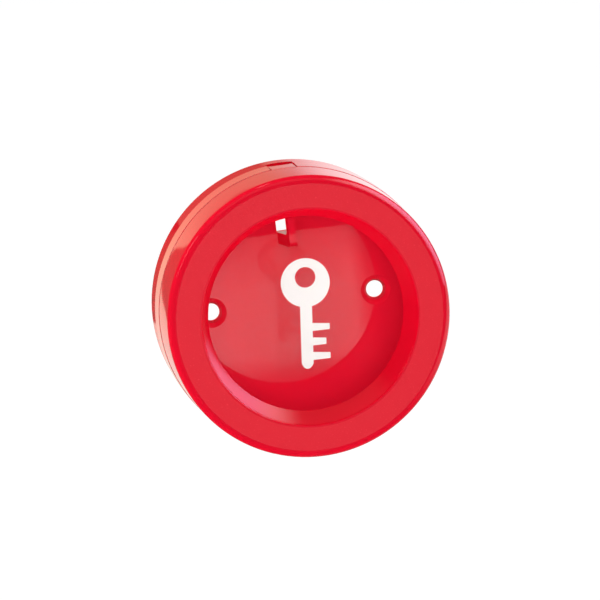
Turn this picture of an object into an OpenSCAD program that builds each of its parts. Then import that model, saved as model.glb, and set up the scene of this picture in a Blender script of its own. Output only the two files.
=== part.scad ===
// Round break-glass key box for a wall: a moulded base with a key hook, a
// push-fit front cap with a dished window, and a round glass pane held between them.
// Millimetres. The wall plane is Y = 0, the front looks along -Y, and Z is up.
// Every piece is drawn lying on its back, with its own Z as the distance
// forward from the wall, and is then stood up.

/* [Overall] */
// Diameter over the front cap's rounded rim
front_d = 85; // [80:0.5:96]
// Depth of the whole box, from the wall to the front face
box_depth = 38; // [36:0.5:46]
// Rounding of the outer edges at the joint
edge_round = 0.25; // [0.1:0.05:0.5]

/* [Joint between cap and base] */
// Distance of the joint from the wall
joint_depth = 19.2; // [17:0.1:21]
// Draft of the cap's skirt, from the front to the joint, on the radius
skirt_draft = 0.5; // [0.2:0.1:1]
// Thickness of the cap's skirt where it laps over the base
lap_skin_t = 1.4; // [1.2:0.1:1.8]
// Thickness of the base's lip inside the cap
lip_t = 1.4; // [1.2:0.1:2]
// Clearance all round between lip and skirt
lap_gap = 0.3; // [0.2:0.05:0.4]
// Lead-in chamfer at the end of the lip
lip_lead = 0.5; // [0.3:0.1:0.8]
// Clearance between the end of the lip and the pane
pane_end_gap = 0.2; // [0.1:0.05:0.5]
// Radius of the rounded snap beads on the lip
snap_r = 0.6; // [0.5:0.05:0.8]
// Clearance from the crest of the snap beads to the skirt
snap_clear = 0.03; // [0.02:0.01:0.1]
// Depth of the groove in the skirt that the snap beads sit in
groove_depth = 0.25; // [0.1:0.05:0.4]
// Distance of the snap beads from the joint
snap_up = 2.6; // [2:0.1:4]
// Number of snap beads round the lip
snap_count = 3; // [3:1:4]
// Arc that one snap bead covers, in degrees
snap_arc = 36; // [20:1:60]

/* [Front cap] */
// Radius of the rounded front rim
rim_round = 2.4; // [1.5:0.1:3.5]
// Thickness of the cap's walls
cap_wall = 2.4; // [2:0.1:3]
// Diameter of the window in the front face
window_d = 64.8; // [61:0.1:68]
// Diameter of the window at the pane
sight_d = 59; // [54:0.5:60]
// Depth of the dished window, from the front face to the pane
dish_depth = 8.4; // [6:0.1:10]
// Rounding of the window's front edge
dish_round = 0.5; // [0.3:0.1:1.2]
// Number of ribs behind the front face
rib_count = 12; // [8:1:16]
// Thickness of those ribs
rib_t = 1.6; // [1.2:0.1:2.2]

/* [Locating tongue] */
// Width of the cap's tongue at twelve o'clock
tongue_w = 7.4; // [6:0.1:10]
// Length of the tongue past the joint
tongue_l = 9; // [6:0.1:10]
// Gap past the tongue's end, where a blade goes in to pull the cap off
pry_gap = 3.2; // [2:0.1:4]
// Depth of the finger scoop in the tongue's end
tongue_scoop = 2; // [0.4:0.1:2.5]
// Clearance at each side of the tongue
tongue_gap = 0.4; // [0.2:0.05:0.6]

/* [Pane] */
// Thickness of the glass
pane_t = 2; // [1.5:0.1:3]
// Clearance round the pane in the cap
pane_gap = 0.4; // [0.2:0.1:0.8]
// Ground chamfer at both edges of the pane
pane_chamfer = 0.3; // [0.1:0.1:0.5]

/* [Base] */
// How far the base stands proud of the cap at the joint
rim_proud = 0.1; // [0.05:0.05:0.4]
// Distance from the wall to the mould's parting line, where the base is widest
parting_depth = 11.1; // [8:0.1:13]
// Draft of the rim band, from the joint to the parting line, on the radius
rim_draft = 0.25; // [0.1:0.05:0.6]
// Draft of the rear band, from the parting line to the wall, on the radius
band_draft = 0.1; // [0.05:0.05:0.6]
// Step in from the rim band to the rear band at the parting line
band_step = 0.1; // [0.05:0.05:0.4]
// Rounding of the edge on the wall
foot_round = 0.3; // [0.2:0.1:1]
// Depth of the hollow behind the floor
back_hollow = 2; // [1.5:0.1:3]
// Thickness of the floor
floor_t = 2.8; // [2.4:0.1:4]
// Fillet between floor and wall inside
floor_fillet = 1.5; // [0.5:0.1:3]

/* [Wall screws] */
// Distance between the two screw holes
screw_spacing = 51; // [44:0.5:56]
// Diameter of the screw holes
screw_hole_d = 5.3; // [4.5:0.1:6]
// Diameter of the countersinks at the floor
screw_sink_d = 9.2; // [8.5:0.1:11]

/* [Key hook] */
// Height of the peg's upper face above the box's centre
hook_up = 21.9; // [18:0.1:22.5]
// Height of the peg
peg_h = 3.6; // [2.5:0.1:5]
// Width of the peg at the floor
peg_root_w = 5.2; // [4:0.1:7]
// Width of the peg and its upright at the front
peg_tip_w = 2.2; // [1.8:0.1:3.5]
// How far the front of the hook stands to the right of its root
hook_lean = 0.6; // [0:0.1:1]
// Distance from the floor to the front of the hook
hook_reach = 10.6; // [9:0.1:14]
// Thickness of the hook's upright
upright_t = 2; // [1.6:0.1:3]
// Height of the upright above the peg
upright_h = 5.9; // [5:0.1:7]
// Clearance round the hook in the slot that forms it
slot_gap = 0.15; // [0.1:0.05:0.4]

/* [Hidden] */
$fn = 180;
// Small overlap of shapes that are joined or cut
eps = 0.01;
red = [0.80, 0.03, 0.06];
glass_tint = [0.85, 0.95, 0.93, 0.35];

// Radii of the joint, from the outside in
front_r = front_d/2;
cap_joint_r = front_r + skirt_draft;
bore_r = cap_joint_r - lap_skin_t;
lip_r = bore_r - lap_gap;
base_in_r = lip_r - lip_t;
rim_front_r = cap_joint_r + rim_proud;
rim_r = rim_front_r + rim_draft;
band_r = rim_r - band_step;
foot_r = band_r - band_draft;
// Heights over the wall
notch_end = joint_depth - tongue_l - pry_gap;
pane_front = box_depth - dish_depth;
pane_back = pane_front - pane_t;
lip_end = pane_back - pane_end_gap;
floor_top = back_hollow + floor_t;
rim_top = box_depth - rim_round;
face_back = box_depth - cap_wall;
snap_z = joint_depth + snap_up;
snap_crest = bore_r - snap_clear;
groove_r = bore_r + groove_depth;
// The pane and its seat in the cap
pane_r = bore_r - pane_gap;
seat_r = front_r - cap_wall;
window_r = window_d/2;
sight_r = sight_d/2;
dish_slope = (window_r - sight_r)/dish_depth;
dish_wall = cap_wall*sqrt(1 + dish_slope*dish_slope);
// Countersink at ninety degrees
sink_depth = (screw_sink_d - screw_hole_d)/2;
// The hook
hook_front = floor_top + hook_reach;
slot_w = peg_root_w + 2*slot_gap;
hook_nose = peg_h*0.45;
hook_crook = upright_t*0.6;

// Turns a piece drawn on its back so that its own Z looks along -Y
module stand_up() {
    rotate([90, 0, 0])
        children();
}

// Right-angled corner with a concave arc: a square of side r less its circle
module cove(r) {
    difference() {
        square(r);
        translate([r, r])
            circle(r, $fn = 48);
    }
}

// Copies a child to both screw positions
module at_screws() {
    for (side = [-1, 1])
        translate([side*screw_spacing/2, 0, 0])
            children();
}

// Sector of the ring outside radius r, of width w, about twelve o'clock
module top_slice(w, r, z0, z1) {
    translate([-w/2, r, z0])
        cube([w, rim_r - r + 1, z1 - z0]);
}

// Half section of the base's wall, lip and floor
module base_section() {
    difference() {
        union() {
            polygon([
                [0, back_hollow],
                [base_in_r, back_hollow],
                [base_in_r, 0],
                [foot_r, 0],
                [band_r, parting_depth],
                [rim_r, parting_depth],
                [rim_front_r, joint_depth],
                [lip_r, joint_depth],
                [lip_r, lip_end],
                [base_in_r, lip_end],
                [base_in_r, floor_top],
                [0, floor_top]
            ]);
            translate([base_in_r, floor_top])
                mirror([1, 0])
                    cove(floor_fillet);
        }
        // Rounded outer edges on the wall and at the joint
        translate([foot_r + eps, -eps])
            mirror([1, 0])
                cove(foot_round);
        translate([rim_front_r + eps, joint_depth + eps])
            rotate(180)
                cove(edge_round);
        // Lead-in at the end of the lip
        translate([lip_r, lip_end])
            rotate(45)
                square(lip_lead*sqrt(2), center = true);
    }
}

// Rounded snap bead on the lip, one arc about the top of the box
module snap_bead() {
    rotate([0, 0, 90 - snap_arc/2])
        rotate_extrude(angle = snap_arc)
            translate([snap_crest - snap_r, snap_z])
                intersection() {
                    circle(snap_r, $fn = 32);
                    translate([0, -snap_r])
                        square(2*snap_r);
                }
}

// Side view of the hook: distance from the wall along X, height along Y
module hook_side() {
    tip = upright_t/2;
    top = hook_up + upright_h;
    difference() {
        union() {
            translate([floor_top - floor_t/2, hook_up - peg_h])
                square([hook_reach + floor_t/2, peg_h]);
            translate([hook_front - upright_t, hook_up - eps])
                square([upright_t, upright_h - tip + eps]);
            translate([hook_front - tip, top - tip])
                circle(tip, $fn = 32);
            translate([hook_front - upright_t, hook_up])
                mirror([1, 0])
                    cove(hook_crook);
        }
        translate([hook_front + eps, hook_up - peg_h - eps])
            mirror([1, 0])
                cove(hook_nose);
    }
}

// Plan of the hook: width along X, distance from the wall along Y
module hook_plan() {
    root = floor_top - floor_t/2;
    polygon([
        [-peg_root_w/2, root],
        [peg_root_w/2, root],
        [peg_root_w/2, floor_top],
        [hook_lean + peg_tip_w/2, hook_front],
        [hook_lean + peg_tip_w/2, hook_front + 1],
        [hook_lean - peg_tip_w/2, hook_front + 1],
        [hook_lean - peg_tip_w/2, hook_front],
        [-peg_root_w/2, floor_top]
    ]);
}

// The hook stands where the side view and the plan meet
module hook() {
    intersection() {
        translate([peg_root_w, 0, 0])
            rotate([0, -90, 0])
                linear_extrude(2*peg_root_w)
                    hook_side();
        translate([0, hook_up - peg_h - 1, 0])
            rotate([90, 0, 0])
                mirror([0, 0, 1])
                    linear_extrude(peg_h + upright_h + 2)
                        hook_plan();
    }
}

module base() {
    color(red)
        stand_up() {
            difference() {
                union() {
                    rotate_extrude()
                        base_section();
                    for (i = [0 : snap_count - 1])
                        rotate([0, 0, (i + 0.5)*360/snap_count])
                            snap_bead();
                }
                // Notch for the cap's tongue, longer than the tongue for a blade
                top_slice(tongue_w + 2*tongue_gap, lip_r, notch_end, joint_depth + eps);
                at_screws() {
                    cylinder(d = screw_hole_d, h = floor_top + eps);
                    translate([0, 0, floor_top - sink_depth])
                        cylinder(d1 = screw_hole_d, d2 = screw_sink_d, h = sink_depth);
                }
                // Slot above the peg, which forms the back of the upright
                translate([-slot_w/2, hook_up, back_hollow - eps])
                    cube([slot_w, upright_h + slot_gap, floor_t + 2*eps]);
            }
            hook();
        }
}

// Half section of the cap: skirt, rounded rim, face and dished window
module cap_section() {
    difference() {
        union() {
            polygon([
                [bore_r, joint_depth],
                [cap_joint_r, joint_depth],
                [front_r, rim_top],
                [front_r - rim_round, rim_top],
                [front_r - rim_round, box_depth],
                [window_r, box_depth],
                [sight_r, pane_front],
                [sight_r + dish_wall, pane_front],
                [window_r + dish_wall - dish_slope*cap_wall, face_back],
                [seat_r, face_back],
                [seat_r, pane_front],
                [bore_r, pane_front]
            ]);
            translate([front_r - rim_round, rim_top])
                circle(rim_round, $fn = 96);
        }
        // Groove for the snap beads
        translate([groove_r - snap_r, snap_z])
            circle(snap_r, $fn = 32);
        // Rounded outer edge at the joint
        translate([cap_joint_r + eps, joint_depth - eps])
            mirror([1, 0])
                cove(edge_round);
        // Rounded front edge of the window
        dish_edge();
    }
}

// What the rounding takes from the window's front edge
module dish_edge() {
    lean = atan(dish_slope);
    reach = dish_round*tan((90 - lean)/2);
    cx = window_r + reach;
    cz = box_depth - dish_round;
    difference() {
        polygon([
            [window_r - dish_round, box_depth + 1],
            [cx, box_depth + 1],
            [cx, cz],
            [cx - dish_round*cos(lean), cz + dish_round*sin(lean)],
            [window_r - dish_round, cz + dish_round*sin(lean)]
        ]);
        translate([cx, cz])
            circle(dish_round, $fn = 96);
    }
}

// Tongue at twelve o'clock, with a scoop in its end for a blade or finger nail
module tongue() {
    scoop_r = (tongue_w*tongue_w/4 + tongue_scoop*tongue_scoop)/(2*tongue_scoop);
    end = joint_depth - tongue_l;
    intersection() {
        difference() {
            cylinder(r = cap_joint_r, h = box_depth);
            translate([0, 0, -1])
                cylinder(r = bore_r, h = box_depth + 2);
        }
        difference() {
            top_slice(tongue_w, base_in_r, end, joint_depth + 1);
            translate([0, rim_r + 1, end - scoop_r + tongue_scoop])
                rotate([90, 0, 0])
                    cylinder(r = scoop_r, h = rim_r);
        }
    }
}

// Ribs behind the front face, from the dished wall to the skirt
module face_ribs() {
    top = face_back + cap_wall/4;
    inner = sight_r + dish_wall/2;
    for (i = [0 : rib_count - 1])
        rotate([0, 0, (i + 0.5)*360/rib_count])
            rotate([90, 0, 0])
                linear_extrude(rib_t, center = true)
                    polygon([
                        [inner, pane_front],
                        [seat_r + cap_wall/4, pane_front],
                        [seat_r + cap_wall/4, top],
                        [inner + dish_slope*(top - pane_front), top]
                    ]);
}

module front_cap() {
    color(red)
        stand_up() {
            rotate_extrude()
                cap_section();
            tongue();
            face_ribs();
        }
}

module glass_pane() {
    color(glass_tint)
        stand_up()
            rotate_extrude()
                polygon([
                    [0, pane_back],
                    [pane_r - pane_chamfer, pane_back],
                    [pane_r, pane_back + pane_chamfer],
                    [pane_r, pane_front - pane_chamfer],
                    [pane_r - pane_chamfer, pane_front],
                    [0, pane_front]
                ]);
}

base();
front_cap();
glass_pane();
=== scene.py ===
"""Round break-glass key box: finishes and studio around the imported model.

The box hangs on a wall at y = 0 and faces -Y. Everything is in metres, in the model's own frame.
"""

import math

import bmesh
import bpy
import numpy as np
from bpy.props import FloatProperty, FloatVectorProperty, IntProperty, PointerProperty
from bpy.types import Operator, Panel, PropertyGroup
from mathutils import Matrix, Vector


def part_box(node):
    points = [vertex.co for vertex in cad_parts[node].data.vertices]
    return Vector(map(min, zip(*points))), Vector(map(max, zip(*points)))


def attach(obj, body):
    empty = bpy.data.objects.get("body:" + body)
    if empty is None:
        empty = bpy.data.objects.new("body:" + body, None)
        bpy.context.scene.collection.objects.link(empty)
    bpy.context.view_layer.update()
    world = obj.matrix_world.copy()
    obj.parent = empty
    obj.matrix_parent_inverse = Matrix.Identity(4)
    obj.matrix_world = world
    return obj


bl_info = {
    "name": "Round Key Box Finisher",
    "version": (1, 0, 0),
    "blender": (4, 5, 0),
    "location": "3D View > Sidebar > Key Box",
    "description": "Gives a round break-glass key box its plastic, glass, printed key mark and studio",
    "category": "Object",
}

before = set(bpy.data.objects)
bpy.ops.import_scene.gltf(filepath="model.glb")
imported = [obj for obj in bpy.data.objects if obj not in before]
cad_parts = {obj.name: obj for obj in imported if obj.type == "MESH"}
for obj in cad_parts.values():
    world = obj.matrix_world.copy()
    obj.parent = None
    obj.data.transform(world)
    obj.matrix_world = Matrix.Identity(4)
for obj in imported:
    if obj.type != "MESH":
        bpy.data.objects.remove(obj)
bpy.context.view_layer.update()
FACE_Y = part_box("front_cap")[0].y
PANE_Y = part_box("glass_pane")[0].y
PANE_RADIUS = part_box("glass_pane")[1].x
# Planes of the base along Y: its joint with the cap, the mould's parting line, and the middle of its floor
JOINT_Y, PARTING_Y, FLOOR_Y = -0.0192, -0.0111, -0.0035
# Distance from the Y axis past which a point at the joint is on the outside
OUTER_RADIUS = 0.0425
# Share of a surface that the painted joint shade covers at most, and the roughness that the joint line or a
# matte back adds
SEAM_SHADE_COVER, DULL_ROUGHNESS = 0.8, 0.5
# Glow of the paper, and its share beside the paper's own shading, which together are white to the camera
PAPER_WHITE, PAPER_SHARE = 1.09, 0.9
# Direction of the cool window that polished surfaces mirror
WINDOW_WAY = (0.86, -0.19, 0.42)
# Soft lamps that polished surfaces don't mirror: name, place, width, height and share of the power
SOFTBOXES = (
    ("front_softbox", (-0.12, -2.0, 0.32), 1.3, 1.3, 1.0),
    ("top_softbox", (0.1, 0.45, 1.6), 1.2, 1.2, 1.1),
    ("left_softbox", (-1.6, 0.5, 0.2), 1.2, 1.2, 1.0),
    ("right_softbox", (1.6, 0.5, 0.2), 1.2, 1.2, 0.35),
)
# Strip lamps that the rounded rim mirrors as thin lines: name, direction from the box, width and height
STRIPS = (
    ("left_strip", (-0.85, -0.12, 0.50), 0.12, 0.60),
    ("top_strip", (-0.13, 0.15, 0.98), 0.20, 0.12),
)
STRIP_DISTANCE = 1.5


# Values that a user would change


class PlasticSettings(PropertyGroup):
    """Colours and surface of the two mouldings."""

    cap_colour: FloatVectorProperty(
        name="Cap colour", description="Pigment of the front cap", subtype="COLOR",
        size=3, min=0, max=1, default=(0.71, 0.0041, 0.0212),
    )
    base_colour: FloatVectorProperty(
        name="Base colour", description="Pigment of the base", subtype="COLOR",
        size=3, min=0, max=1, default=(0.80, 0.0019, 0.0176),
    )
    gloss_roughness: FloatProperty(
        name="Gloss roughness", description="Roughness of the polished mould surfaces",
        default=0.035, min=0, max=1,
    )
    bloom: FloatVectorProperty(
        name="Face bloom", description="Pigment under the face's fine texture, which scatters pale light",
        subtype="COLOR", size=3, min=0, max=1, default=(0.73, 0.0005, 0.0165),
    )
    # Painted light: the window's wall gets a lighter red than the rest of the cap.
    dish_painted_light: FloatVectorProperty(
        name="Dish colour", description="Pigment of the window's wall", subtype="COLOR",
        size=3, min=0, max=1, default=(0.905, 0.0002, 0.0184),
    )
    # Painted shade: the base's rear band gets a darker red than the rest of the base.
    rear_painted_shade: FloatVectorProperty(
        name="Rear colour", description="Pigment of the base's rear band", subtype="COLOR",
        size=3, min=0, max=1, default=(0.66, 0.0035, 0.0176),
    )
    # Painted light: inside the base the red grows lighter towards its walls, evening out their shade.
    side_painted_light: FloatVectorProperty(
        name="Side glow", description="Pigment inside the base near its walls, which let light through",
        subtype="COLOR", size=3, min=0, max=1, default=(0.82, 0.0080, 0.0330),
    )
    # Painted glow: a faint red emission inside the base near its walls, though no lamp is there.
    side_painted_glow: FloatVectorProperty(
        name="Side light", description="Light that comes through the base's walls into the box",
        subtype="COLOR", size=3, min=0, max=1, default=(0.12, 0.0008, 0.0056),
    )
    # Painted light: the red of the floor's middle, the middle end of the painted light inside the base.
    glow: FloatVectorProperty(
        name="Inner glow", description="Pigment of the floor's middle, which the window lights",
        subtype="COLOR", size=3, min=0, max=1, default=(0.80, 0.0033, 0.0235),
    )
    # Painted shade: the dark line where cap and base meet, standing for the shade in the gap.
    seam_shade_colour: FloatVectorProperty(
        name="Dust colour", description="Dust in the line where cap and base meet", subtype="COLOR",
        size=3, min=0, max=1, default=(0.46, 0.055, 0.050),
    )
    dish_roughness: FloatProperty(
        name="Dish roughness", description="Roughness of the window's wall", default=0.16, min=0, max=1,
    )
    face_roughness: FloatProperty(
        name="Face roughness", description="Roughness of the fine-textured front face",
        default=0.42, min=0, max=1,
    )
    mirror_roughness: FloatProperty(
        name="Mirror roughness", description="Roughness of the base, whose floor mirrors the window",
        default=0.008, min=0, max=1,
    )
    base_inner: FloatProperty(
        name="Base inner radius", description="What lies nearer to the middle is inside the base",
        default=0.0405, unit="LENGTH",
    )
    cap_inner: FloatProperty(
        name="Cap inner radius", description="What lies nearer to the middle is in the cap's window",
        default=0.0325, unit="LENGTH",
    )
    face_inner: FloatProperty(
        name="Face inner radius", description="Where the texture starts, at the window's rounded edge",
        default=0.0331, unit="LENGTH",
    )
    face_outer: FloatProperty(
        name="Face outer radius", description="Where the texture ends, at the rounded rim",
        default=0.0401, unit="LENGTH",
    )
    grain_size: FloatProperty(
        name="Grain size", description="Size of one grain of the face's texture",
        default=0.00055, unit="LENGTH",
    )
    grain_depth: FloatProperty(
        name="Grain depth", description="Depth of the face's texture", default=0.00003, unit="LENGTH",
    )
    fleck_colour: FloatVectorProperty(
        name="Fleck colour", description="Colour of a grain that catches light", subtype="COLOR",
        size=3, min=0, max=1, default=(0.95, 0.06, 0.08),
    )
    fleck_share: FloatProperty(
        name="Fleck share", description="How much of its colour a fleck shows", default=0.40, min=0, max=1,
    )


class GlassSettings(PropertyGroup):
    """The round pane."""

    tint: FloatVectorProperty(
        name="Tint", description="Colour of the light that passes", subtype="COLOR",
        size=3, min=0, max=1, default=(0.985, 0.992, 0.988),
    )
    roughness: FloatProperty(
        name="Roughness", description="Roughness of the cleanest glass", default=0.0, min=0, max=1,
    )
    sheen: FloatProperty(
        name="Sheen", description="Share of the usual mirror image that the clear pane still shows",
        default=0.06, min=0, max=1,
    )
    shade: FloatProperty(
        name="Shade", description="Share of light that the pane holds back from what is behind it",
        default=0.0, min=0, max=1,
    )


class MarkSettings(PropertyGroup):
    """The printed key on the pane."""

    height: FloatProperty(
        name="Height", description="Height of the key", default=0.0335, unit="LENGTH",
    )
    bow_radius: FloatProperty(
        name="Bow radius", description="Outer radius of the key's round bow", default=0.0074,
        unit="LENGTH",
    )
    eye_radius: FloatProperty(
        name="Eye radius", description="Radius of the hole in the bow", default=0.0031, unit="LENGTH",
    )
    shaft_width: FloatProperty(
        name="Shaft width", description="Width of the key's shaft", default=0.0036, unit="LENGTH",
    )
    tooth_length: FloatProperty(
        name="Tooth length", description="How far the longest tooth stands out", default=0.0052,
        unit="LENGTH",
    )
    tooth_count: IntProperty(
        name="Teeth", description="Number of teeth on the shaft", default=3, min=1, max=5,
    )
    turn: FloatProperty(
        name="Turn", description="How far the pane sits turned in the cap", subtype="ANGLE",
        default=math.radians(-5.0),
    )
    film: FloatProperty(
        name="Ink film", description="Thickness of the ink", default=0.00005, unit="LENGTH",
    )
    colour: FloatVectorProperty(
        name="Ink colour", description="Colour of the ink", subtype="COLOR",
        size=3, min=0, max=1, default=(0.93, 0.91, 0.88),
    )


class StageSettings(PropertyGroup):
    """Camera, floor and lamps."""

    azimuth: FloatProperty(
        name="Azimuth", description="Camera's turn round the box, 0 in front", subtype="ANGLE",
        default=math.radians(-7.71),
    )
    elevation: FloatProperty(
        name="Elevation", description="Camera's height angle", subtype="ANGLE",
        default=math.radians(9.83),
    )
    roll: FloatProperty(
        name="Roll", description="Camera's turn about its own axis", subtype="ANGLE",
        default=math.radians(-6.80),
    )
    distance: FloatProperty(
        name="Distance", description="From the camera to its target", default=1.07545, unit="LENGTH",
    )
    target: FloatVectorProperty(
        name="Target", description="Point on the wall plane that the camera looks at",
        subtype="TRANSLATION", unit="LENGTH", default=(0.00264, 0.0, -0.00083),
    )
    lens: FloatProperty(name="Lens", description="Focal length in millimetres", default=210.0)
    floor_drop: FloatProperty(
        name="Floor drop", description="Depth of the floor under the box's centre", default=0.5,
        unit="LENGTH",
    )
    floor_front: FloatProperty(
        name="Floor front", description="Where the pale floor ends in front of the box", default=3.38,
        unit="LENGTH",
    )
    sky: FloatProperty(name="Sky", description="Level of the light from all round", default=0.255)
    studio: FloatProperty(
        name="Studio", description="Level of the dark studio that polished surfaces mirror",
        default=0.02,
    )
    wall: FloatProperty(
        name="Wall", description="Level of the studio's pale right wall in polished surfaces",
        default=0.3,
    )
    window: FloatProperty(
        name="Window", description="Level of the cool window high in the right wall", default=6.6,
    )
    canopy: FloatProperty(
        name="Canopy", description="Level of the pale canopy over the front in polished surfaces",
        default=0.4,
    )
    lamp_power: FloatProperty(
        name="Lamp power", description="Power of the broad soft lamp in front, in step with the others",
        default=24.2, unit="POWER",
    )
    strip_glow: FloatProperty(
        name="Strip glow", description="Brightness of the strip lamps that the rounded rim mirrors",
        default=4.0,
    )


# Meshes


def new_mesh_object(name, points, faces):
    """A mesh object at the origin from an (n, 3) array of points and an (m, 4) array of quads."""
    mesh = bpy.data.meshes.new(name)
    mesh.from_pydata(np.asarray(points, float).tolist(), [], np.asarray(faces, int).tolist())
    mesh.update()
    obj = bpy.data.objects.new(name, mesh)
    bpy.context.scene.collection.objects.link(obj)
    return obj


def grid_quads(rows, columns, first, closed=False):
    """Quads between neighbouring points of a rows by columns grid whose points start at index first."""
    steps = columns if closed else columns - 1
    row, column = np.meshgrid(np.arange(rows - 1), np.arange(steps), indexing="ij")
    beside = (column + 1) % columns
    here, above = row * columns, (row + 1) * columns
    quads = np.stack([here + column, here + beside, above + beside, above + column], -1)
    return first + quads.reshape(-1, 4)


def merged(obj):
    """Joins the points that neighbouring patches share."""
    b = bmesh.new()
    b.from_mesh(obj.data)
    bmesh.ops.remove_doubles(b, verts=b.verts, dist=1e-6)
    b.to_mesh(obj.data)
    b.free()
    return obj


def key_patches(mark):
    """The key's flat outline as patches (u to the right, v up) that meet point on point.

    Bow: points at angle a lie on the straight line from the eye's circle to the outer circle.
    Shaft: rows of constant v between the bow's lower arc and the rounded tip.
    Teeth: rectangles that start at the shaft's right edge, on the same rows, and end in a slight slope.
    """
    half, bow, eye = mark.shaft_width / 2, mark.bow_radius, mark.eye_radius
    bow_v = mark.height / 2 - bow
    across = np.linspace(-half, half, 9)
    low = np.arcsin(across / bow)
    angle = np.concatenate([low, np.linspace(low[-1], 2 * np.pi + low[0], 90)[1:-1]])
    ring = np.stack([np.sin(angle), -np.cos(angle)], -1)
    out = np.linspace(0, 1, 5)[:, None, None]
    eye_at, bow_at = np.array([0.0, bow_v + bow * 0.22]), np.array([0.0, bow_v])
    bow_points = (1 - out) * (eye_at + eye * ring) + out * (bow_at + bow * ring)

    tip_v = -mark.height / 2
    pitch, tooth_width, shorter = 0.0044, 0.0024, 0.22
    starts = tip_v + 0.0026 + pitch * np.arange(mark.tooth_count)
    teeth = [
        (start, start + tooth_width, mark.tooth_length * (1 - shorter * (i % 2)))
        for i, start in enumerate(starts)
    ]
    edges = sorted({round(v, 7) for a, b, _ in teeth for v in (a, b)})
    top_row = bow_v - bow - 0.0003
    plain_rows = np.round(np.linspace(edges[-1], top_row, 6), 7)
    rows = np.array(sorted({*edges, round(top_row, 7), *plain_rows}))
    arc = bow_v - np.sqrt(bow**2 - across**2)
    tip = tip_v + 0.0016 * (np.abs(across) / half) ** 2.5
    v = np.vstack([tip, np.repeat(rows[:, None], len(across), 1), arc])
    shaft_points = np.stack([np.broadcast_to(across, v.shape), v], -1)

    patches = [(bow_points[::-1], True), (shaft_points, False)]
    for a, b, length in teeth:
        tooth_rows = rows[(rows >= a - 1e-7) & (rows <= b + 1e-7)]
        u = half + np.linspace(0, length, 5)
        slope = 0.12 * (u - half)
        v = np.stack([tooth_rows[0] + slope * 0.5, tooth_rows[-1] - slope * 0.5])
        patches.append((np.stack([np.broadcast_to(u, v.shape), v], -1), False))
    return patches


def make_key_mark(mark):
    """The printed key: the outline's patches, turned with the pane and laid on its front as a film of ink."""
    points, faces, first = [], [], 0
    for patch, closed in key_patches(mark):
        rows, columns = patch.shape[:2]
        points.append(patch.reshape(-1, 2))
        faces.append(grid_quads(rows, columns, first, closed))
        first += rows * columns
    flat = np.vstack(points)
    cosine, sine = math.cos(mark.turn), math.sin(mark.turn)
    flat = flat @ np.array([[cosine, sine], [-sine, cosine]])
    gap = mark.film * 0.2
    laid = np.stack([flat[:, 0], np.full(len(flat), PANE_Y - gap - mark.film), flat[:, 1]], -1)
    obj = merged(new_mesh_object("key_mark", laid, np.vstack(faces)))
    b = bmesh.new()
    b.from_mesh(obj.data)
    for f in b.faces:
        if f.normal.y > 0:
            f.normal_flip()
    b.to_mesh(obj.data)
    b.free()
    ink = obj.modifiers.new("ink film", "SOLIDIFY")
    ink.thickness = mark.film
    ink.offset = -1
    return obj


def make_floor(stage):
    """The pale floor: a flat sheet that bends up behind the box in a quarter circle, like a paper roll.

    Along its length s it is flat, then an arc of radius r, then straight up.
    """
    z0, r = -stage.floor_drop, 1.5
    back, wall_height, half_width = 5.0, 3.0, 5.0
    bend = np.linspace(0, 1, 60) * math.pi / 2
    y = np.concatenate([[-stage.floor_front, 0.0], back + r * np.sin(bend), [back + r]])
    z = np.concatenate([[z0, z0], z0 + r * (1 - np.cos(bend)), [z0 + r + wall_height]])
    x = np.linspace(-half_width, half_width, 9)
    grid = np.stack(np.broadcast_arrays(x, y[:, None], z[:, None]), -1)
    floor = new_mesh_object("studio_floor", grid.reshape(-1, 3), grid_quads(len(y), len(x), 0))
    floor.data.polygons.foreach_set("use_smooth", np.ones(len(floor.data.polygons), bool))
    return floor


# Shader nodes


def put(tree, kind, **values):
    """A new node with its properties (set) and its inputs by name or number, set or linked (into)."""
    node = tree.nodes.new(kind)
    for key, value in values.pop("set", {}).items():
        setattr(node, key, value)
    for key, value in values.pop("into", {}).items():
        if isinstance(value, bpy.types.NodeSocket):
            tree.links.new(value, node.inputs[key])
        else:
            node.inputs[key].default_value = value
    return node


def maths(tree, operation, a, b=0.0, clamp=False):
    """The output of one Math node."""
    node = put(tree, "ShaderNodeMath", set={"operation": operation, "use_clamp": clamp}, into={0: a, 1: b})
    return node.outputs[0]


def times(tree, a, b):
    """The output of a Math node: a times b."""
    return maths(tree, "MULTIPLY", a, b)


def plus(tree, a, b, clamp=False):
    """The output of a Math node: a plus b."""
    return maths(tree, "ADD", a, b, clamp)


def minus(tree, a, b):
    """The output of a Math node: a minus b."""
    return maths(tree, "SUBTRACT", a, b)


def greatest(tree, a, b):
    """The output of a Math node: the greater of a and b."""
    return maths(tree, "MAXIMUM", a, b)


def vector_maths(tree, operation, into, output=0):
    """One output of a Vector Math node."""
    return put(tree, "ShaderNodeVectorMath", set={"operation": operation}, into=into).outputs[output]


def remap(tree, value, from_min, from_max, to_min, to_max, smooth=False):
    """The output of one Map Range node, straight or with a smooth step."""
    node = put(
        tree, "ShaderNodeMapRange",
        set={"interpolation_type": "SMOOTHSTEP" if smooth else "LINEAR"},
        into={
            "Value": value, "From Min": from_min, "From Max": from_max,
            "To Min": to_min, "To Max": to_max,
        },
    )
    return node.outputs[0]


def step(tree, value, start, end, low=0.0, high=1.0):
    """A smooth step from low, where value is start, to high, where it is end."""
    return remap(tree, value, start, end, low, high, True)


def parts(tree, vector):
    """The x, y and z outputs of a vector."""
    return put(tree, "ShaderNodeSeparateXYZ", into={0: vector}).outputs


def noise(tree, position, scale, detail, roughness=0.5):
    """The factor of one Noise Texture."""
    node = put(
        tree, "ShaderNodeTexNoise",
        into={"Vector": position, "Scale": scale, "Detail": detail, "Roughness": roughness},
    )
    return node.outputs[0]


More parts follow.
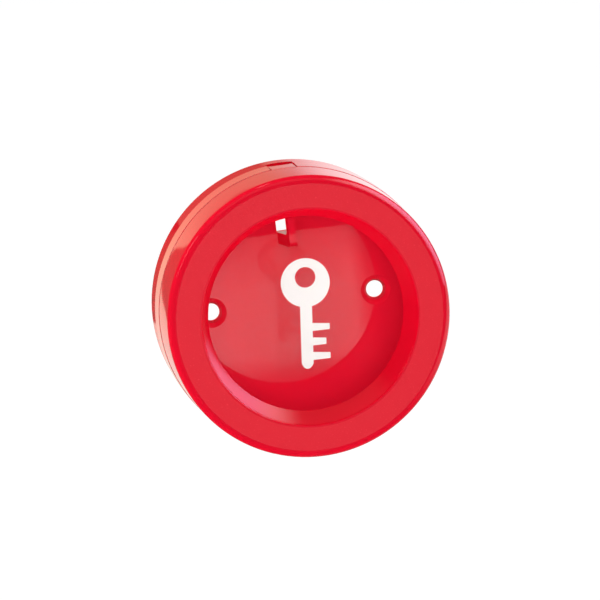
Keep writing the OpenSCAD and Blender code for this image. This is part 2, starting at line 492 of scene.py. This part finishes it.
def axis_radius(tree, position):
    """(x, y and z of a position, its distance from the Y axis)."""
    axes = parts(tree, position)
    across = put(tree, "ShaderNodeCombineXYZ", into={0: axes[0], 2: axes[2]}).outputs[0]
    return axes, vector_maths(tree, "LENGTH", {0: across}, "Value")


def bumped(tree, height, distance=1.0):
    """The normal of a Bump node over a height in metres, or in units of distance."""
    node = put(tree, "ShaderNodeBump", into={"Height": height, "Distance": distance, "Strength": 1.0})
    return node.outputs[0]


def blend(tree, factor, first, second):
    """The output of one colour Mix node; the colours are sockets, RGB triples or RGBA."""
    mix = put(tree, "ShaderNodeMix", set={"data_type": "RGBA"}, into={"Factor": factor})
    for socket, value in zip([s for s in mix.inputs if s.type == "RGBA"], (first, second)):
        if isinstance(value, bpy.types.NodeSocket):
            tree.links.new(value, socket)
        else:
            socket.default_value = (*value, 1)
    return next(s for s in mix.outputs if s.type == "RGBA")


# Effects that materials share, as node groups


def new_group(name, inputs, outputs):
    """An empty shader node group: (group, its input sockets, its output sockets).

    inputs holds (name, socket type, default), outputs (name, socket type).
    """
    group = bpy.data.node_groups.new(name, "ShaderNodeTree")
    for title, kind, default in inputs:
        socket = group.interface.new_socket(title, in_out="INPUT", socket_type=kind)
        if default is not None:
            socket.default_value = default
    for title, kind in outputs:
        group.interface.new_socket(title, in_out="OUTPUT", socket_type=kind)
    start = group.nodes.new("NodeGroupInput")
    end = group.nodes.new("NodeGroupOutput")
    return group, start.outputs, end.inputs


def face_mask_group():
    """Mask of the flat front face: 1 between two radii about the Y axis and in front of a plane."""
    g, start, end = new_group(
        "front_face_mask",
        [("Position", "NodeSocketVector", None), ("Inner", "NodeSocketFloat", 0.0331),
         ("Outer", "NodeSocketFloat", 0.0401), ("Plane", "NodeSocketFloat", -0.0379)],
        [("Mask", "NodeSocketFloat")],
    )
    axes, radius = axis_radius(g, start["Position"])
    edge = 0.00025
    inside = step(g, minus(g, radius, start["Inner"]), -edge, edge)
    outside = step(g, minus(g, start["Outer"], radius), -edge, edge)
    front = maths(g, "LESS_THAN", axes[1], start["Plane"])
    g.links.new(times(g, times(g, inside, outside), front), end["Mask"])
    return g


def inner_mask_group():
    """Masks about the Y axis: 1 inside a radius, and the same fading in from 10 to 26 mm inside it."""
    g, start, end = new_group(
        "inner_mask",
        [("Position", "NodeSocketVector", None), ("Radius", "NodeSocketFloat", 0.033)],
        [("Mask", "NodeSocketFloat"), ("Middle", "NodeSocketFloat")],
    )
    _, radius = axis_radius(g, start["Position"])
    depth = minus(g, start["Radius"], radius)
    edge = 0.0003
    g.links.new(step(g, depth, -edge, edge), end["Mask"])
    g.links.new(step(g, depth, 0.010, 0.026), end["Middle"])
    return g


def mould_grain_group():
    """Spark-eroded mould texture: rounded grains of two sizes, and flecks where a grain catches light."""
    g, start, end = new_group(
        "mould_grain",
        [("Position", "NodeSocketVector", None), ("Grains per metre", "NodeSocketFloat", 2400.0)],
        [("Height", "NodeSocketFloat"), ("Flecks", "NodeSocketFloat")],
    )
    position, scale = start["Position"], start["Grains per metre"]
    coarse = noise(g, position, scale, 2.0, 0.6)
    cells = put(
        g, "ShaderNodeTexVoronoi", set={"feature": "SMOOTH_F1"},
        into={"Vector": position, "Scale": times(g, scale, 1.4), "Smoothness": 0.7},
    ).outputs["Distance"]
    g.links.new(minus(g, coarse, times(g, cells, 0.55)), end["Height"])
    g.links.new(step(g, coarse, 0.60, 0.74), end["Flecks"])
    return g


def handling_group():
    """Traces of handling: broad patches of wiped haze and a few fine streaks."""
    g, start, end = new_group(
        "handling_traces",
        [("Position", "NodeSocketVector", None), ("Patches per metre", "NodeSocketFloat", 55.0)],
        [("Haze", "NodeSocketFloat"), ("Streaks", "NodeSocketFloat")],
    )
    position = start["Position"]
    broad = noise(g, position, start["Patches per metre"], 4.0, 0.62)
    drawn = put(
        g, "ShaderNodeMapping", set={"vector_type": "POINT"},
        into={"Vector": position, "Rotation": (0.3, 0.9, 0.4), "Scale": (1.0, 9.0, 14.0)},
    ).outputs[0]
    g.links.new(step(g, broad, 0.42, 0.70), end["Haze"])
    g.links.new(step(g, noise(g, drawn, 260.0, 3.0), 0.60, 0.72), end["Streaks"])
    return g


def joint_line_shade_group():
    """Mask of a painted shade line round the outside where two mouldings meet, patchy along its length."""
    g, start, end = new_group(
        "joint_line_shade",
        [("Position", "NodeSocketVector", None), ("Plane", "NodeSocketFloat", JOINT_Y),
         ("Reach", "NodeSocketFloat", 0.0006)],
        [("Mask", "NodeSocketFloat")],
    )
    axes, radius = axis_radius(g, start["Position"])
    away = maths(g, "ABSOLUTE", minus(g, axes[1], start["Plane"]))
    near = step(g, maths(g, "DIVIDE", away, start["Reach"]), 0.5, 1.0, 1, 0)
    patchy = noise(g, start["Position"], 180.0, 2.0)
    line = times(g, near, remap(g, patchy, 0.3, 0.6, 0.6, 1.0))
    g.links.new(times(g, line, maths(g, "GREATER_THAN", radius, OUTER_RADIUS)), end["Mask"])
    return g


def pigment_group():
    """Pigment of moulded plastic or ink: slow drift between two shades, and fine specks of colour."""
    g, start, end = new_group(
        "pigment",
        [("Position", "NodeSocketVector", None), ("Shade A", "NodeSocketColor", None),
         ("Shade B", "NodeSocketColor", None)],
        [("Colour", "NodeSocketColor")],
    )
    drift = noise(g, start["Position"], 32.0, 2.0)
    speck = noise(g, start["Position"], 5200.0, 1.0)
    part = plus(g, remap(g, drift, 0.35, 0.65, 0, 0.8), remap(g, speck, 0.3, 0.7, -0.1, 0.2), True)
    g.links.new(blend(g, part, start["Shade A"], start["Shade B"]), end["Colour"])
    return g


def place(tree, name, maker, **into):
    """A shared effect placed in a material, built the first time that it is asked for.

    Its inputs go by name, in which an underscore stands for a space.
    """
    node = tree.nodes.new("ShaderNodeGroup")
    node.node_tree = bpy.data.node_groups.get(name) or maker()
    for key, value in into.items():
        socket = node.inputs[key.replace("_", " ")]
        if isinstance(value, bpy.types.NodeSocket):
            tree.links.new(value, socket)
        else:
            socket.default_value = value
    return node.outputs


def pigment(tree, position, colour, low, high):
    """The pigment effect between a darker and a lighter shade of one colour."""
    dark, light = ((*[min(1.0, c * k) for c in colour], 1.0) for k in (low, high))
    return place(tree, "pigment", pigment_group, Position=position, Shade_A=dark, Shade_B=light)["Colour"]


def mould_grain(tree, position, per_metre):
    """The mould texture effect at so many grains a metre."""
    return place(tree, "mould_grain", mould_grain_group, Position=position, Grains_per_metre=per_metre)


def handling(tree, position, per_metre, haze, streaks):
    """The roughness that the traces of handling add, up to haze in the patches and streaks in the streaks."""
    traces = place(tree, "handling_traces", handling_group, Position=position, Patches_per_metre=per_metre)
    return plus(tree, times(tree, traces["Haze"], haze), times(tree, traces["Streaks"], streaks))


# Materials


def new_material(name):
    """A node material with a Principled shader: (material, tree, shader inputs, object coordinates)."""
    material = bpy.data.materials.new(name)
    material.use_nodes = True
    tree = material.node_tree
    shader = next(n for n in tree.nodes if n.type == "BSDF_PRINCIPLED")
    position = put(tree, "ShaderNodeTexCoord").outputs["Object"]
    return material, tree, shader.inputs, position


def cap_form(tree, position, inner):
    """Small forms of the cap as a height in metres: a belly on the skirt and a slope in the window.

    Over the skirt h = 0.007 q - 0.534 q^2, with q the way forward from the joint. In the window h = 0.6 t,
    with t the way in from the front, so that the wall catches light as a shallower dish would.
    """
    y = parts(tree, position)[1]
    skirt_length, dish_length, dish_slope = 0.0164, 0.0085, 0.6
    q = remap(tree, y, JOINT_Y, JOINT_Y - skirt_length, 0.0, skirt_length)
    belly = minus(tree, times(tree, q, 0.007), times(tree, times(tree, q, q), 0.534))
    dish = remap(tree, y, -0.0375, -0.0375 + dish_length, 0.0, dish_slope * dish_length)
    return plus(tree, belly, times(tree, dish, inner))


def base_form(tree, position, outside):
    """Small forms of the base's outside as a height in metres.

    h = -0.07 s up to the parting line, with s the way from the wall, so that the rear band flares towards the
    wall. Past it h rises by 0.0187 a metre.
    """
    y = parts(tree, position)[1]
    rear = remap(tree, y, 0.0, PARTING_Y, 0.0, 0.07 * PARTING_Y)
    rim = remap(tree, y, PARTING_Y, JOINT_Y, 0.0, 0.0187 * (PARTING_Y - JOINT_Y))
    return times(tree, plus(tree, rear, rim), outside)


def cap_plastic(plastic):
    """Polished red plastic whose flat front face has a fine matte texture; its window's wall has painted
    light and its joint a painted shade line.
    """
    material, tree, shader, position = new_material("cap_red_plastic")
    face = place(
        tree, "front_face_mask", face_mask_group, Position=position, Inner=plastic.face_inner,
        Outer=plastic.face_outer, Plane=FACE_Y + 0.0001,
    )["Mask"]
    masks = place(tree, "inner_mask", inner_mask_group, Position=position, Radius=plastic.cap_inner)
    inner = masks["Mask"]
    grain = mould_grain(tree, position, 1 / plastic.grain_size)
    seam_shade = place(tree, "joint_line_shade", joint_line_shade_group, Position=position)["Mask"]

    gloss = remap(tree, inner, 0, 1, plastic.gloss_roughness, plastic.dish_roughness)
    gloss = plus(tree, gloss, handling(tree, position, 55.0, 0.015, 0.01))
    matte = remap(tree, grain["Flecks"], 0, 1, plastic.face_roughness, plastic.face_roughness - 0.12)
    rough = plus(tree, gloss, times(tree, face, minus(tree, matte, gloss)))
    tree.links.new(plus(tree, rough, times(tree, seam_shade, DULL_ROUGHNESS)), shader["Roughness"])

    relief = times(tree, times(tree, grain["Height"], face), plastic.grain_depth)
    height = plus(tree, cap_form(tree, position, inner), relief)
    tree.links.new(bumped(tree, height), shader["Normal"])

    skin = pigment(tree, position, plastic.cap_colour, 0.96, 1.03)
    # Painted light: the window's wall is a lighter red.
    skin = blend(tree, inner, skin, tuple(plastic.dish_painted_light))
    skin = blend(tree, face, skin, tuple(plastic.bloom))
    # Painted shade: a dark line round the joint with the base.
    skin = blend(tree, times(tree, seam_shade, SEAM_SHADE_COVER), skin, tuple(plastic.seam_shade_colour))
    fleck = times(tree, times(tree, grain["Flecks"], face), plastic.fleck_share)
    tree.links.new(blend(tree, fleck, skin, tuple(plastic.fleck_colour)), shader["Base Color"])
    shader["IOR"].default_value = 1.5
    shader["Specular IOR Level"].default_value = 0.38
    return material


def base_plastic(plastic):
    """Red plastic of the base: polished, matte and grained at the back, with painted light and glow inside
    and painted shade on its rear band and joint.
    """
    material, tree, shader, position = new_material("base_red_plastic")
    masks = place(tree, "inner_mask", inner_mask_group, Position=position, Radius=plastic.base_inner)
    y = parts(tree, position)[1]
    inner = times(tree, masks["Mask"], maths(tree, "LESS_THAN", y, FLOOR_Y))
    back = times(tree, masks["Mask"], maths(tree, "GREATER_THAN", y, FLOOR_Y))
    rear = maths(tree, "GREATER_THAN", y, PARTING_Y)
    seam_shade = place(tree, "joint_line_shade", joint_line_shade_group, Position=position)["Mask"]

    skin = pigment(tree, position, plastic.base_colour, 0.95, 1.04)
    # Painted shade: the rear band is a darker red.
    skin = blend(tree, rear, skin, tuple(plastic.rear_painted_shade))
    # Painted light: inside, the floor's red is lighter near the walls than in the middle.
    lit = blend(tree, masks["Middle"], tuple(plastic.side_painted_light), tuple(plastic.glow))
    skin = blend(tree, inner, skin, lit)
    # Painted shade: a dark line round the joint with the cap.
    skin = blend(tree, times(tree, seam_shade, SEAM_SHADE_COVER), skin, tuple(plastic.seam_shade_colour))
    tree.links.new(skin, shader["Base Color"])
    # Painted glow: inside, near the walls, a faint red emission.
    painted_glow_share = times(tree, inner, minus(tree, 1.0, masks["Middle"]))
    tree.links.new(blend(tree, painted_glow_share, (0, 0, 0), tuple(plastic.side_painted_glow)), shader["Emission Color"])
    shader["Emission Strength"].default_value = 1.0

    haze = handling(tree, position, 40.0, 0.004, 0.006)
    dull = plus(tree, haze, times(tree, greatest(tree, seam_shade, back), DULL_ROUGHNESS))
    tree.links.new(plus(tree, plastic.mirror_roughness, dull), shader["Roughness"])

    waves = times(tree, mould_grain(tree, position, 70.0)["Height"], 0.000001)
    grain = mould_grain(tree, position, 1 / plastic.grain_size)["Height"]
    relief = times(tree, times(tree, grain, back), plastic.grain_depth)
    form = base_form(tree, position, minus(tree, 1.0, inner))
    tree.links.new(bumped(tree, plus(tree, form, plus(tree, relief, waves))), shader["Normal"])
    shader["IOR"].default_value = 1.5
    shader["Specular IOR Level"].default_value = 1.0
    return material


def pane_glass(glass):
    """Clear glass with a breath of haze; light to what is behind it passes straight through."""
    material, tree, shader, position = new_material("pane_clear_glass")
    shader["Base Color"].default_value = (*glass.tint, 1)
    shader["Transmission Weight"].default_value = 1.0
    shader["IOR"].default_value = 1.5
    shader["Specular Tint"].default_value = (glass.sheen, glass.sheen, glass.sheen, 1)
    smear = handling(tree, position, 70.0, 0.01, 0.01)
    tree.links.new(plus(tree, glass.roughness, smear), shader["Roughness"])
    path = put(tree, "ShaderNodeLightPath").outputs
    passing = greatest(tree, path["Is Shadow Ray"], path["Is Diffuse Ray"])
    tree.links.new(minus(tree, 1.0, times(tree, passing, 1 - glass.shade)), shader["Alpha"])
    return material


def mark_ink(mark):
    """White screen-printing ink: matte and finely grained, and thin in mirror images and shadows."""
    material, tree, shader, position = new_material("white_screen_ink")
    tree.links.new(pigment(tree, position, mark.colour, 0.97, 1.03), shader["Base Color"])
    grain = mould_grain(tree, position, 5000.0)
    tree.links.new(remap(tree, grain["Flecks"], 0, 1, 0.5, 0.36), shader["Roughness"])
    path = put(tree, "ShaderNodeLightPath").outputs
    thin = greatest(tree, path["Is Glossy Ray"], path["Is Shadow Ray"])
    tree.links.new(remap(tree, thin, 0, 1, 1.0, 0.2), shader["Alpha"])
    tree.links.new(bumped(tree, grain["Height"], 0.000008), shader["Normal"])
    return material


def studio_reflection(tree, position):
    """What polished surfaces see of the pale paper: (level, warmth) from a point's place.

    u = x / y and w = z / y are the tangents of azimuth and height behind the box. The lit paper ends on the
    left at u = -0.229 - 0.22 max(0, w - 0.031), and at the top at
    w = 0.268 + 0.15 (u + 0.05) - 0.6 max(0, -0.123 - u). Its light, shade and warmth are painted: it grows
    duller with height, and has a painted shadow near the box. In front it is painted lit on the right, duller
    far off, close by and further to the right, and brightest right beside the box.
    """
    x, y, z = parts(tree, position)
    flat = put(tree, "ShaderNodeCombineXYZ", into={0: x, 1: y}).outputs[0]
    away = vector_maths(tree, "LENGTH", {0: flat}, "Value")
    behind = maths(tree, "GREATER_THAN", y, 0.0)
    before = minus(tree, 1.0, behind)
    depth = greatest(tree, y, 0.05)
    u = maths(tree, "DIVIDE", x, depth)
    w = maths(tree, "DIVIDE", z, depth)

    rise = greatest(tree, minus(tree, w, 0.031), 0.0)
    left = plus(tree, plus(tree, u, 0.229), times(tree, rise, 0.22))
    corner = times(tree, greatest(tree, minus(tree, -0.123, u), 0.0), 0.6)
    top = plus(tree, times(tree, plus(tree, u, 0.05), 0.15), 0.268)
    above = minus(tree, minus(tree, top, corner), w)
    high = greatest(tree, remap(tree, w, 0.0, 0.24, 0.95, 0.45), step(tree, u, 0.10, 0.26, 0.3, 1.2))
    back = times(tree, times(tree, step(tree, above, -0.012, 0.012, 0.35, 1.0), high), behind)
    back = times(tree, back, step(tree, left, -0.004, 0.004, 0.16, 1.0))

    front = times(tree, step(tree, x, -0.1, 0.2, 0, 0.9), before)
    front = times(tree, front, remap(tree, y, -3.38, -2.95, 0.45, 1.0))
    front = times(tree, front, step(tree, y, -2.39, -2.59, 0.2, 1.0))
    aside = plus(tree, x, times(tree, plus(tree, y, 2.62), 0.152))
    front = times(tree, front, step(tree, aside, 0.438, 0.408, 0.2, 1.0))
    beside = times(tree, step(tree, x, 0.3, 0.8, 0.0, 1.3), step(tree, y, -1.2, -0.7))
    front = plus(tree, front, times(tree, beside, before))

    level = times(tree, plus(tree, back, front), step(tree, away, 0.4, 1.2, 0.2, 1.0))
    warmth = times(tree, step(tree, w, -0.3, 0.05, 0.3, 1), step(tree, u, 0.05, 0.2, 1, 0))
    return level, times(tree, warmth, behind)


def floor_paper():
    """Pale studio paper: white to the camera, darker in a shadow, and with painted light and shade in
    reflections.
    """
    material, tree, shader, position = new_material("studio_paper")
    fibre = noise(tree, position, 900.0, 3.0)
    tree.links.new(remap(tree, fibre, 0.3, 0.7, 0.88, 0.93), shader["Roughness"])
    shader["Base Color"].default_value = (0.86, 0.86, 0.86, 1)
    shader["Specular IOR Level"].default_value = 0.1
    path = put(tree, "ShaderNodeLightPath").outputs
    seen = greatest(tree, path["Is Camera Ray"], path["Is Glossy Ray"])
    seen = greatest(tree, seen, path["Is Transmission Ray"])
    mirrored = maths(tree, "MINIMUM", path["Glossy Depth"], 1.0)
    level, warmth = studio_reflection(tree, position)
    change = times(tree, minus(tree, level, PAPER_WHITE), mirrored)
    tone = blend(tree, times(tree, warmth, mirrored), (1, 1, 1), (1.0, 0.93, 0.62))
    bright = vector_maths(tree, "SCALE", {0: tone, "Scale": plus(tree, change, PAPER_WHITE)})
    glow = put(tree, "ShaderNodeEmission", into={"Color": bright}).outputs[0]
    share = times(tree, seen, remap(tree, mirrored, 0, 1, PAPER_SHARE, 1.0))
    both = put(tree, "ShaderNodeMixShader", into={0: share})
    principled = next(n for n in tree.nodes if n.type == "BSDF_PRINCIPLED")
    out = next(n for n in tree.nodes if n.type == "OUTPUT_MATERIAL")
    tree.links.new(principled.outputs[0], both.inputs[1])
    tree.links.new(glow, both.inputs[2])
    tree.links.new(both.outputs[0], out.inputs["Surface"])
    return material


# Light and camera


def aim(obj, spot, at, roll=0.0):
    """Puts a lamp or camera at spot with its -Z axis towards at."""
    back = (Vector(spot) - Vector(at)).normalized()
    right = Vector((0, 0, 1)).cross(back)
    right = right.normalized() if right.length > 1e-6 else Vector((1, 0, 0))
    up = back.cross(right)
    right, up = (
        math.cos(roll) * right + math.sin(roll) * up,
        -math.sin(roll) * right + math.cos(roll) * up,
    )
    axes = Matrix((right, up, back)).transposed().to_4x4()
    obj.matrix_world = Matrix.Translation(spot) @ axes


def add_lamp(name, spot, at, width, height, power):
    """A soft rectangular lamp."""
    data = bpy.data.lights.new(name, "AREA")
    data.shape = "RECTANGLE"
    data.size, data.size_y = width, height
    data.energy = power
    lamp = bpy.data.objects.new(name, data)
    bpy.context.scene.collection.objects.link(lamp)
    aim(lamp, spot, at)
    return lamp


def add_camera(stage):
    """The photograph's camera: azimuth, elevation and roll about a target on the wall plane."""
    a, e = stage.azimuth, stage.elevation
    back = Vector((math.sin(a) * math.cos(e), -math.cos(a) * math.cos(e), math.sin(e)))
    target = Vector(stage.target)
    data = bpy.data.cameras.new("photo_camera")
    data.sensor_width, data.lens = 36.0, stage.lens
    data.clip_start, data.clip_end = 0.01, 50.0
    camera = bpy.data.objects.new("photo_camera", data)
    bpy.context.scene.collection.objects.link(camera)
    aim(camera, target + back * stage.distance, target, stage.roll)
    bpy.context.scene.camera = camera
    return camera


def set_sky(stage):
    """Even light from all round, white to the camera and through glass.

    Mirrored, it is a dark studio with a pale right wall, a cool window high in it and a canopy in front.
    """
    world = bpy.data.worlds.new("studio_sky")
    bpy.context.scene.world = world
    world.use_nodes = True
    tree = world.node_tree
    sky = tree.nodes["Background"]
    path = put(tree, "ShaderNodeLightPath").outputs
    seen = greatest(tree, path["Is Camera Ray"], path["Is Transmission Ray"])
    lit = remap(tree, seen, 0, 1, stage.sky, 1.0)
    mirrored = times(tree, path["Is Glossy Ray"], maths(tree, "MINIMUM", path["Glossy Depth"], 1.0))

    way = put(tree, "ShaderNodeTexCoord").outputs["Generated"]
    x, y, z = parts(tree, way)
    studio = step(tree, x, 0.45, 0.85, stage.studio, stage.wall)
    towards = Vector(WINDOW_WAY).normalized()
    facing = vector_maths(tree, "DOT_PRODUCT", {0: way, 1: towards}, "Value")
    studio = plus(tree, studio, times(tree, step(tree, facing, 0.72, 0.99), stage.window))
    canopy = times(tree, step(tree, y, -0.15, -0.28), step(tree, z, 0.6, 0.8))
    studio = plus(tree, studio, times(tree, canopy, stage.canopy))

    cool = times(tree, mirrored, step(tree, x, 0.45, 0.85))
    tree.links.new(blend(tree, cool, (1, 1, 1), (0.95, 0.66, 1.0)), sky.inputs["Color"])
    dim = times(tree, mirrored, minus(tree, lit, studio))
    tree.links.new(minus(tree, lit, dim), sky.inputs["Strength"])


# Operators


def need_node(name):
    """A CAD node of the frame, or an error."""
    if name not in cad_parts:
        raise RuntimeError(f"the frame has no node {name}")
    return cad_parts[name]


def dress(obj, material):
    """Gives an object one material in place of all that it has."""
    if not obj.material_slots:
        obj.data.materials.append(material)
    for s in obj.material_slots:
        s.material = material


class KEYBOX_OT_finish_cap(Operator):
    """Give the front cap its polished red plastic and textured face"""

    bl_idname = "keybox.finish_cap"
    bl_label = "Finish Front Cap"

    def execute(self, context):
        dress(need_node("front_cap"), cap_plastic(context.scene.keybox_plastic))
        return {"FINISHED"}


class KEYBOX_OT_finish_base(Operator):
    """Give the base its red plastic"""

    bl_idname = "keybox.finish_base"
    bl_label = "Finish Base"

    def execute(self, context):
        dress(need_node("base"), base_plastic(context.scene.keybox_plastic))
        return {"FINISHED"}


class KEYBOX_OT_finish_pane(Operator):
    """Give the round pane its clear glass"""

    bl_idname = "keybox.finish_pane"
    bl_label = "Finish Glass Pane"

    def execute(self, context):
        dress(need_node("glass_pane"), pane_glass(context.scene.keybox_glass))
        return {"FINISHED"}


class KEYBOX_OT_print_mark(Operator):
    """Print a plain white key on the pane"""

    bl_idname = "keybox.print_mark"
    bl_label = "Print Key Mark"

    def execute(self, context):
        mark = context.scene.keybox_mark
        if mark.height > 1.6 * PANE_RADIUS:
            raise RuntimeError("the key mark is larger than the window")
        obj = make_key_mark(mark)
        dress(obj, mark_ink(mark))
        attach(obj, "pane")
        return {"FINISHED"}


class KEYBOX_OT_build_stage(Operator):
    """Set up the floor, lamps, sky and camera"""

    bl_idname = "keybox.build_stage"
    bl_label = "Build Stage"

    def execute(self, context):
        stage = context.scene.keybox_stage
        dress(make_floor(stage), floor_paper())
        centre = (0, -0.02, 0)
        for name, spot, width, height, share in SOFTBOXES:
            lamp = add_lamp(name, spot, centre, width, height, share * stage.lamp_power)
            lamp.visible_glossy = False
            lamp.visible_transmission = False
        for name, way, width, height in STRIPS:
            spot = Vector(way).normalized() * STRIP_DISTANCE
            power = 4 * width * height * stage.strip_glow
            add_lamp(name, spot, centre, width, height, power)
        set_sky(stage)
        add_camera(stage)
        context.scene.view_settings.view_transform = "Standard"
        return {"FINISHED"}


class KEYBOX_PT_panel(Panel):
    """Sidebar panel that lists the box's pieces"""

    bl_idname = "KEYBOX_PT_panel"
    bl_label = "Round Key Box"
    bl_space_type = "VIEW_3D"
    bl_region_type = "UI"
    bl_category = "Key Box"

    def draw(self, context):
        layout = self.layout
        scene = context.scene
        for title, settings, operators in (
            ("Mouldings", scene.keybox_plastic, ("keybox.finish_cap", "keybox.finish_base")),
            ("Glass", scene.keybox_glass, ("keybox.finish_pane",)),
            ("Key mark", scene.keybox_mark, ("keybox.print_mark",)),
            ("Stage", scene.keybox_stage, ("keybox.build_stage",)),
        ):
            box = layout.box()
            box.label(text=title)
            for name in settings.bl_rna.properties.keys():
                if name not in {"rna_type", "name"}:
                    box.prop(settings, name)
            for operator in operators:
                box.operator(operator)


CLASSES = (
    PlasticSettings,
    GlassSettings,
    MarkSettings,
    StageSettings,
    KEYBOX_OT_finish_cap,
    KEYBOX_OT_finish_base,
    KEYBOX_OT_finish_pane,
    KEYBOX_OT_print_mark,
    KEYBOX_OT_build_stage,
    KEYBOX_PT_panel,
)


def register():
    for c in CLASSES:
        bpy.utils.register_class(c)
    bpy.types.Scene.keybox_plastic = PointerProperty(type=PlasticSettings)
    bpy.types.Scene.keybox_glass = PointerProperty(type=GlassSettings)
    bpy.types.Scene.keybox_mark = PointerProperty(type=MarkSettings)
    bpy.types.Scene.keybox_stage = PointerProperty(type=StageSettings)


def unregister():
    for name in ("keybox_stage", "keybox_mark", "keybox_glass", "keybox_plastic"):
        delattr(bpy.types.Scene, name)
    for c in reversed(CLASSES):
        bpy.utils.unregister_class(c)


def main():
    register()
    bpy.ops.keybox.finish_cap()
    bpy.ops.keybox.finish_base()
    bpy.ops.keybox.finish_pane()
    bpy.ops.keybox.print_mark()
    bpy.ops.keybox.build_stage()


if __name__ == "__main__":
    main()
